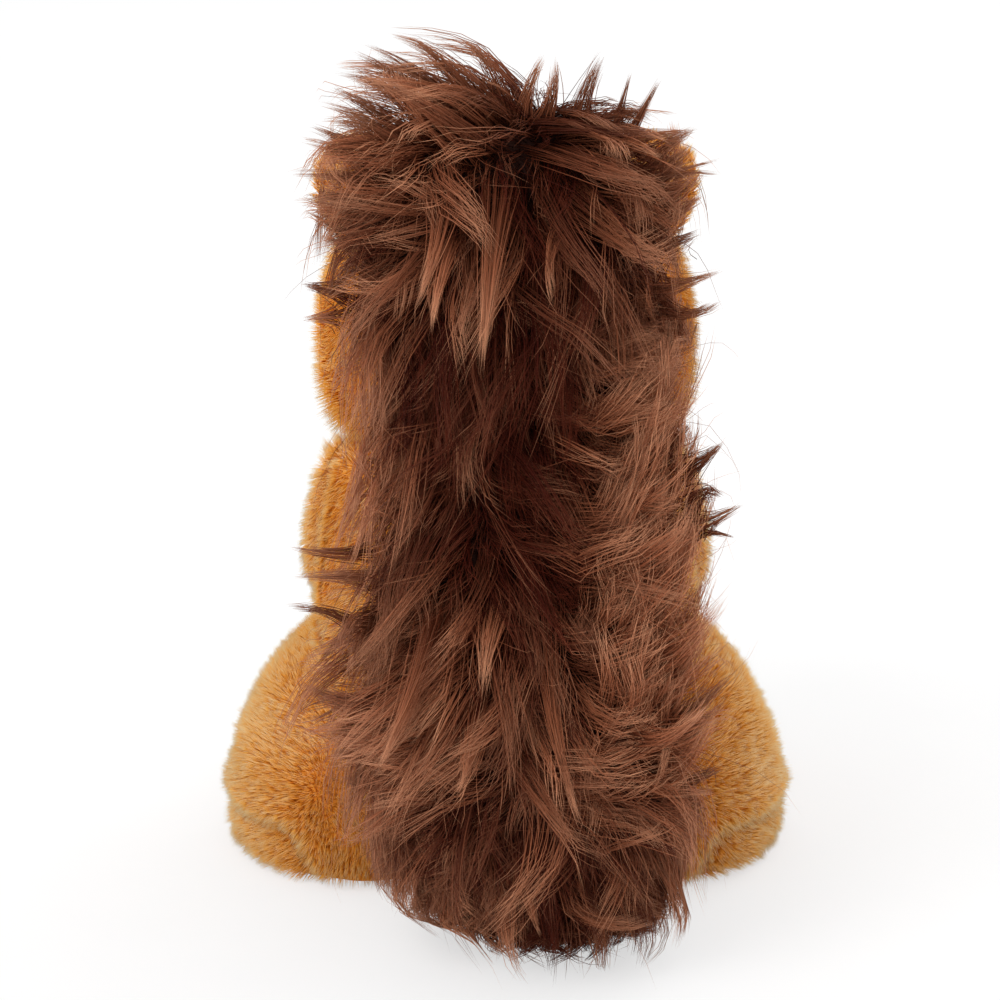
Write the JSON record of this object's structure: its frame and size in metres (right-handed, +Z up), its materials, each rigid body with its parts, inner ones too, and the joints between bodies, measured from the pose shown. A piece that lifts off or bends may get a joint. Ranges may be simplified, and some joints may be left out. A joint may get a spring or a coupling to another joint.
{
  "type": "plush squirrel",
  "caption": "Sitting plush squirrel with a pear-shaped body, broad haunches, round head, small ears and an upright long-pile tail behind the back; a soft toy that stands on its flat underside.",
  "frame": {"origin": "middle of the flat underside, on the floor", "axes": "+Z up, the squirrel faces -Y, its left side is +X, the tail stands at +Y"},
  "size_m": [0.1508, 0.2097, 0.2324],
  "materials": {
    "golden_plush": "short golden tan pile, matte",
    "cream_plush": "short cream pile, matte",
    "brown_fur": "long brown faux fur with lighter tips",
    "ear_lining": "very short pale pile",
    "stuffing": "white fibre filling",
    "pellet_bag": "woven bag of pellets",
    "dark_plastic": "polished dark plastic",
    "clear_plastic": "plain moulded plastic"
  },
  "bodies": {
    "torso": {"torso_cover": "golden_plush", "belly_panel": "cream_plush", "underside_panel": "golden_plush", "torso_stuffing": "stuffing", "pellet_bag": "pellet_bag", "left_haunch_cover": "golden_plush", "left_haunch_stuffing": "stuffing", "right_haunch_cover": "golden_plush", "right_haunch_stuffing": "stuffing", "tail_base_cover": "brown_fur", "tail_base_stuffing": "stuffing"},
    "head": {"head_cover": "golden_plush", "head_stuffing": "stuffing", "neck_stuffing": "stuffing", "muzzle_cover": "cream_plush", "muzzle_stuffing": "stuffing", "nose": "dark_plastic", "nose_washer": "clear_plastic", "left_eye": "dark_plastic", "left_eye_washer": "clear_plastic", "right_eye": "dark_plastic", "right_eye_washer": "clear_plastic"},
    "left_ear": {"left_ear": "golden_plush", "left_ear_lining": "ear_lining"},
    "left_arm": {"left_arm_cover": "golden_plush", "left_arm_stuffing": "stuffing"},
    "left_foot": {"left_foot_cover": "golden_plush", "left_foot_stuffing": "stuffing", "left_sole_pad": "cream_plush"},
    "right_ear": {"right_ear": "golden_plush", "right_ear_lining": "ear_lining"},
    "right_arm": {"right_arm_cover": "golden_plush", "right_arm_stuffing": "stuffing"},
    "right_foot": {"right_foot_cover": "golden_plush", "right_foot_stuffing": "stuffing", "right_sole_pad": "cream_plush"},
    "tail_middle": {"tail_middle_cover": "brown_fur", "tail_middle_stuffing": "stuffing"},
    "tail_tip": {"tail_tip_cover": "brown_fur", "tail_tip_stuffing": "stuffing"}
  },
  "joints": [
    {"name": "neck_turn", "type": "hinge", "parent": "torso", "child": "head", "pos_m": [0, 0, 0.118], "axis": [0, 0, 1], "range_deg": [-25, 25], "stiffness_Nm_per_rad": 0.2},
    {"name": "left_ear_fold", "type": "hinge", "parent": "head", "child": "left_ear", "pos_m": [0.035, 0.004, 0.1798], "axis": [0.9397, 0, -0.342], "range_deg": [-15, 15], "stiffness_Nm_per_rad": 0.02},
    {"name": "right_ear_fold", "type": "hinge", "parent": "head", "child": "right_ear", "pos_m": [-0.035, 0.004, 0.1798], "axis": [0.9397, 0, 0.342], "range_deg": [-15, 15], "stiffness_Nm_per_rad": 0.02},
    {"name": "left_arm_swing", "type": "hinge", "parent": "torso", "child": "left_arm", "pos_m": [0.0415, 0, 0.118], "axis": [-1, 0, 0], "range_deg": [-8, 25], "stiffness_Nm_per_rad": 0.12},
    {"name": "right_arm_swing", "type": "hinge", "parent": "torso", "child": "right_arm", "pos_m": [-0.0415, 0, 0.118], "axis": [-1, 0, 0], "range_deg": [-8, 25], "stiffness_Nm_per_rad": 0.12},
    {"name": "left_foot_lift", "type": "hinge", "parent": "torso", "child": "left_foot", "pos_m": [0.049, -0.046, 0.025], "axis": [-1, 0, 0], "range_deg": [0, 25], "stiffness_Nm_per_rad": 0.12},
    {"name": "right_foot_lift", "type": "hinge", "parent": "torso", "child": "right_foot", "pos_m": [-0.049, -0.046, 0.025], "axis": [-1, 0, 0], "range_deg": [0, 25], "stiffness_Nm_per_rad": 0.12},
    {"name": "tail_bend", "type": "hinge", "parent": "torso", "child": "tail_middle", "pos_m": [0, 0.1233, 0.06285], "axis": [-1, 0, 0], "range_deg": [0, 25], "stiffness_Nm_per_rad": 0.8},
    {"name": "tail_tip_bend", "type": "hinge", "parent": "tail_middle", "child": "tail_tip", "pos_m": [0, 0.1089, 0.15245], "axis": [-1, 0, 0], "range_deg": [0, 30], "stiffness_Nm_per_rad": 0.3}
  ]
}
